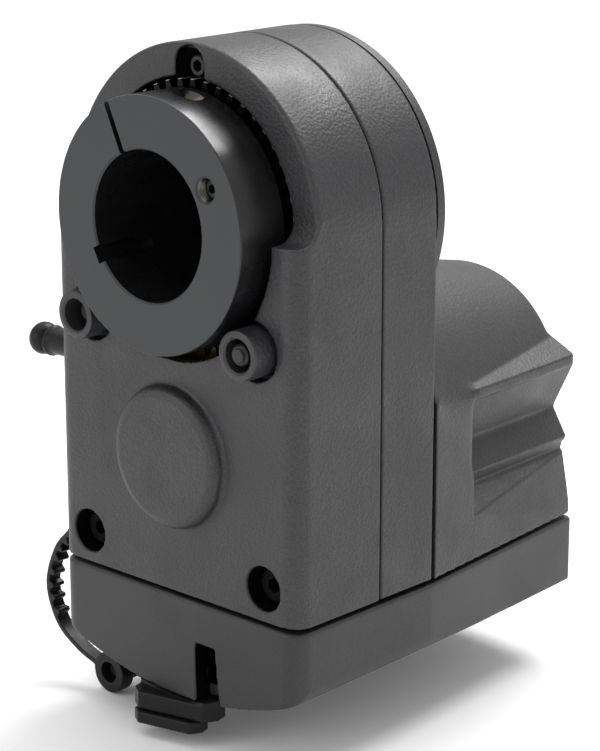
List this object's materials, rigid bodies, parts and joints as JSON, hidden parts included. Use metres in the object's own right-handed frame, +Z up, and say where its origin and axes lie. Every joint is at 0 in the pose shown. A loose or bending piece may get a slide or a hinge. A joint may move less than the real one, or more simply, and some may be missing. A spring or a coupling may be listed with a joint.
{
  "type": "motorised telescope focus drive",
  "caption": "Motor drive for a telescope focuser: an arch-topped cast housing with a split clamping collar in front, a round-topped motor housing behind and a low base shell.",
  "frame": {"origin": "on the drive collar's axis, in the plane of the lower front plate", "axes": "+X right seen from the front, +Y to the back along the collar's axis, +Z up"},
  "size_m": [0.0721, 0.0872, 0.1241],
  "materials": {
    "casting": "fine textured powder coat, satin",
    "base_plastic": "fine moulded grain",
    "collar_black": "black anodised, satin",
    "gear_steel": "machined",
    "brass": "machined",
    "black_steel": "black oxide",
    "bronze": "sintered bronze",
    "motor_steel": "plated can",
    "jack_black": "gloss",
    "board_green": "solder mask",
    "rubber": "satin"
  },
  "bodies": {
    "root": {"front_housing": "casting", "middle_housing": "casting", "motor_housing": "casting", "back_cover": "casting", "base_shell": "base_plastic", "collar_bushing": "bronze", "shaft_bearing": "bronze", "gearbox": "motor_steel", "motor_can": "motor_steel", "motor_end_cap": "jack_black", "circuit_board": "board_green", "handset_jack": "jack_black", "usb_jack": "jack_black", "motor_wires": "jack_black", "left_screw_sleeve": "casting", "right_screw_sleeve": "casting", "left_case_screw": "black_steel", "right_case_screw": "black_steel", "left_base_screw": "black_steel", "right_base_screw": "black_steel", "strap_post": "black_steel", "cable_strap": "rubber", "strap_block": "rubber", "strap_block_plate": "rubber", "board_standoff_1": "gear_steel", "board_standoff_2": "gear_steel"},
    "collar": {"drive_collar": "collar_black", "ring_gear": "gear_steel", "collar_retaining_ring": "gear_steel", "thrust_washer": "bronze"},
    "pinion": {"pinion_gear": "brass", "pinion_shaft": "gear_steel", "pinion_hub_screw": "black_steel"},
    "clamp_screw": {"collar_clamp_screw": "black_steel"},
    "face_screw": {"collar_face_screw": "black_steel"},
    "upper_screw": {"upper_mount_screw": "black_steel"},
    "left_screw": {"left_mount_screw": "black_steel"},
    "right_screw": {"right_mount_screw": "black_steel"}
  },
  "joints": [
    {"name": "collar_spin", "type": "hinge", "parent": "root", "child": "collar", "pos_m": [0, 0, 0], "axis": [0, 1, 0], "continuous": true},
    {"name": "pinion_spin", "type": "hinge", "parent": "root", "child": "pinion", "pos_m": [0, 0, -0.04136], "axis": [0, 1, 0], "continuous": true},
    {"name": "clamp_screw_turn", "type": "hinge", "parent": "collar", "child": "clamp_screw", "pos_m": [-0.00778, 0.0015, 0.01668], "axis": [0.9063, 0, 0.4226], "range_deg": [-340, 20]},
    {"name": "face_screw_turn", "type": "hinge", "parent": "collar", "child": "face_screw", "pos_m": [0.01412, 0, 0.00815], "axis": [0, 1, 0], "range_deg": [-340, 20]},
    {"name": "upper_screw_travel", "type": "slide", "parent": "root", "child": "upper_screw", "axis": [0, -1, 0], "range_m": [0, 0.005]},
    {"name": "left_screw_travel", "type": "slide", "parent": "root", "child": "left_screw", "axis": [0, -1, 0], "range_m": [0, 0.005]},
    {"name": "right_screw_travel", "type": "slide", "parent": "root", "child": "right_screw", "axis": [0, -1, 0], "range_m": [0, 0.005]}
  ],
  "couplings": [
    {"joint": "pinion_spin", "follows": "collar_spin", "ratio": -1.2}
  ]
}
